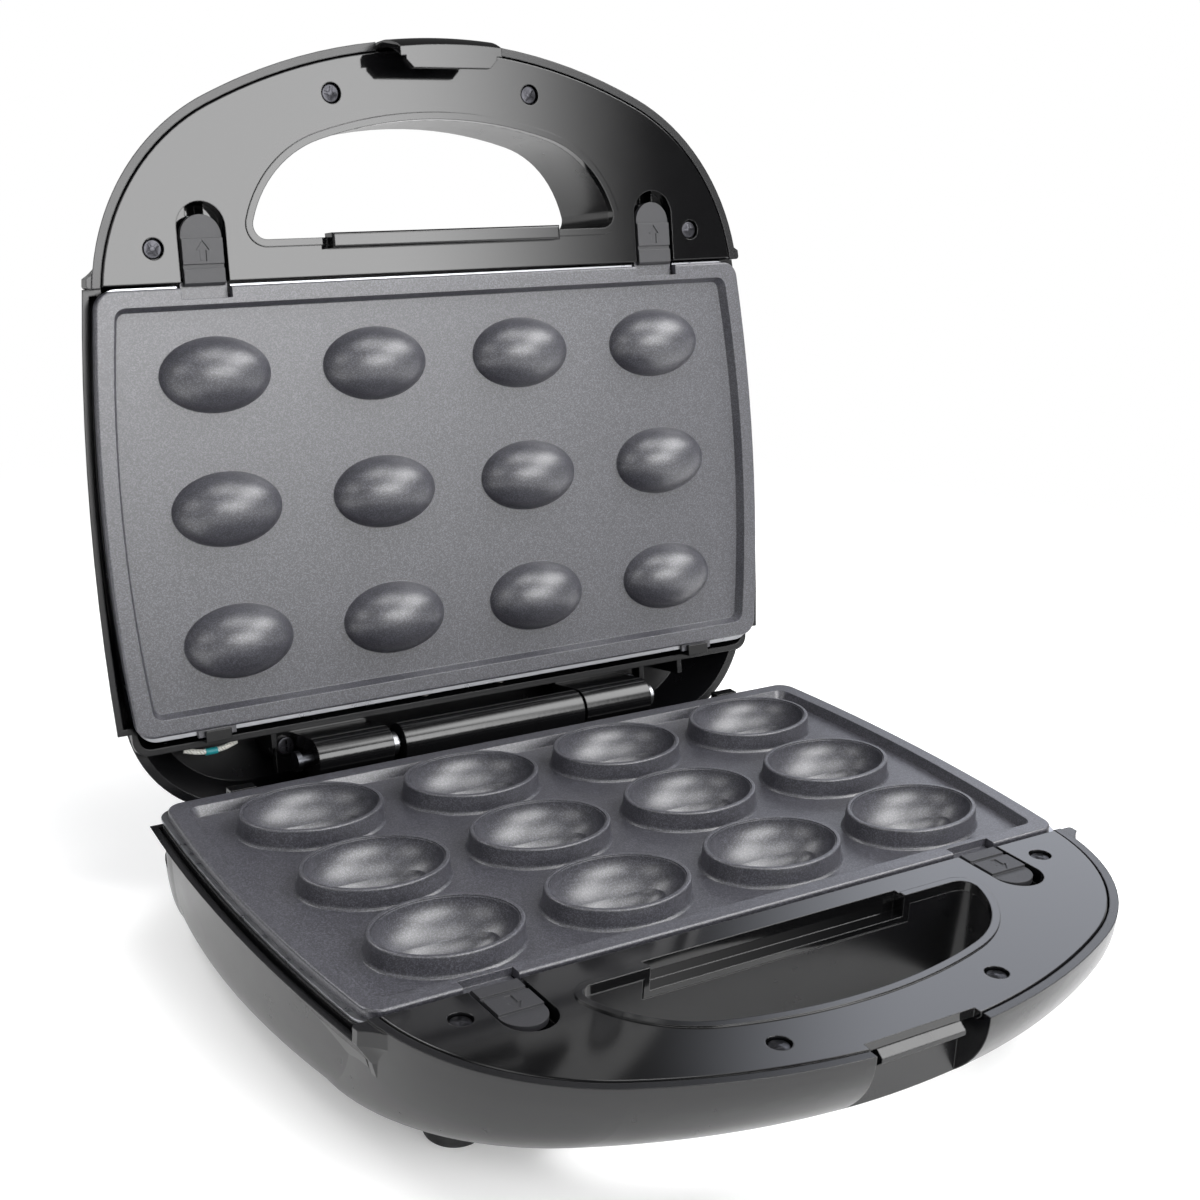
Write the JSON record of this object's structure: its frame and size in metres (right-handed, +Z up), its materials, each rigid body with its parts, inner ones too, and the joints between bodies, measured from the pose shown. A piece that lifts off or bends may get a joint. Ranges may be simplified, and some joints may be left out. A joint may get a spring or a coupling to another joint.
{
  "type": "nut-shaped biscuit maker",
  "caption": "Open electric biscuit maker with two hinged black halves, domed and cupped non-stick plates, handle loops and a swinging lid latch.",
  "frame": {"origin": "centre of the bounding box's bottom face, on the surface that the feet stand on", "axes": "+Z up, -Y towards the user at the base handle, +Y towards the hinge and the open lid, +X to the user's right"},
  "size_m": [0.2418, 0.2816, 0.2535],
  "materials": {
    "black_shell": "gloss",
    "black_deck": "high gloss",
    "latch_plastic": "gloss",
    "tab_plastic": "fine grained",
    "non_stick": "satin non-stick coating on cast aluminium",
    "pressed_steel": "bright aluminised sheet",
    "heater_tube": "oxidised",
    "spring_steel": "bright wire",
    "zinc_steel": "zinc plated",
    "black_enamel": "gloss",
    "pin_steel": "ground",
    "screw_steel": "dark nickel plated",
    "black_rubber": "matte",
    "white_silicone": "glass-fibre sleeve",
    "terminal_plastic": "satin",
    "thermostat_body": "ceramic-like",
    "red_lens": "translucent",
    "green_lens": "translucent"
  },
  "bodies": {
    "base": {"base_shell": "black_shell", "base_deck": "black_deck", "base_deck_screws": "screw_steel", "base_plate": "non_stick", "base_tray": "pressed_steel", "base_tray_screws": "screw_steel", "base_heater": "heater_tube", "base_heater_clips": "spring_steel", "base_thermostat": "thermostat_body", "base_plate_hooks": "black_enamel", "base_hinge_bracket": "zinc_steel", "base_bracket_screws": "screw_steel", "hinge_pin": "pin_steel", "hinge_clips": "spring_steel", "cord_gland": "black_rubber", "terminal_block": "terminal_plastic", "base_leads": "white_silicone", "thermal_fuse": "white_silicone", "foot_front_left": "black_rubber", "foot_front_right": "black_rubber", "foot_rear_left": "black_rubber", "foot_rear_right": "black_rubber"},
    "lid": {"lid_shell": "black_shell", "lid_deck": "black_deck", "lid_deck_screws": "screw_steel", "lid_plate": "non_stick", "lid_tray": "pressed_steel", "lid_tray_screws": "screw_steel", "lid_heater": "heater_tube", "lid_heater_clips": "spring_steel", "lid_thermostat": "thermostat_body", "lid_plate_hooks": "black_enamel", "lid_hinge_left": "black_enamel", "lid_hinge_right": "black_enamel", "lid_bracket_screws": "screw_steel", "lid_lead": "white_silicone", "lamp_red": "red_lens", "lamp_green": "green_lens", "lid_latch_pin": "pin_steel"},
    "lid_latch": {"lid_latch": "latch_plastic"},
    "base_tab_left": {"base_tab_left": "tab_plastic", "base_tab_spring_left": "spring_steel"},
    "base_tab_right": {"base_tab_right": "tab_plastic", "base_tab_spring_right": "spring_steel"},
    "lid_tab_left": {"lid_tab_left": "tab_plastic", "lid_tab_spring_left": "spring_steel"},
    "lid_tab_right": {"lid_tab_right": "tab_plastic", "lid_tab_spring_right": "spring_steel"}
  },
  "joints": [
    {"name": "lid_hinge", "type": "hinge", "parent": "base", "child": "lid", "pos_m": [0, 0.07365, 0.0421], "axis": [1, 0, 0], "range_deg": [0, 101.8]},
    {"name": "latch_hinge", "type": "hinge", "parent": "lid", "child": "lid_latch", "pos_m": [0, 0.12643, 0.24581], "axis": [1, 0, 0], "range_deg": [-25, 0]},
    {"name": "base_tab_left_slide", "type": "slide", "parent": "base", "child": "base_tab_left", "axis": [0, -1, 0], "range_m": [0, 0.0032], "stiffness_N_per_m": 180},
    {"name": "lid_tab_left_slide", "type": "slide", "parent": "lid", "child": "lid_tab_left", "axis": [0, 0.2045, 0.9789], "range_m": [0, 0.0032], "stiffness_N_per_m": 180},
    {"name": "base_tab_right_slide", "type": "slide", "parent": "base", "child": "base_tab_right", "axis": [0, -1, 0], "range_m": [0, 0.0032], "stiffness_N_per_m": 180},
    {"name": "lid_tab_right_slide", "type": "slide", "parent": "lid", "child": "lid_tab_right", "axis": [0, 0.2045, 0.9789], "range_m": [0, 0.0032], "stiffness_N_per_m": 180}
  ]
}
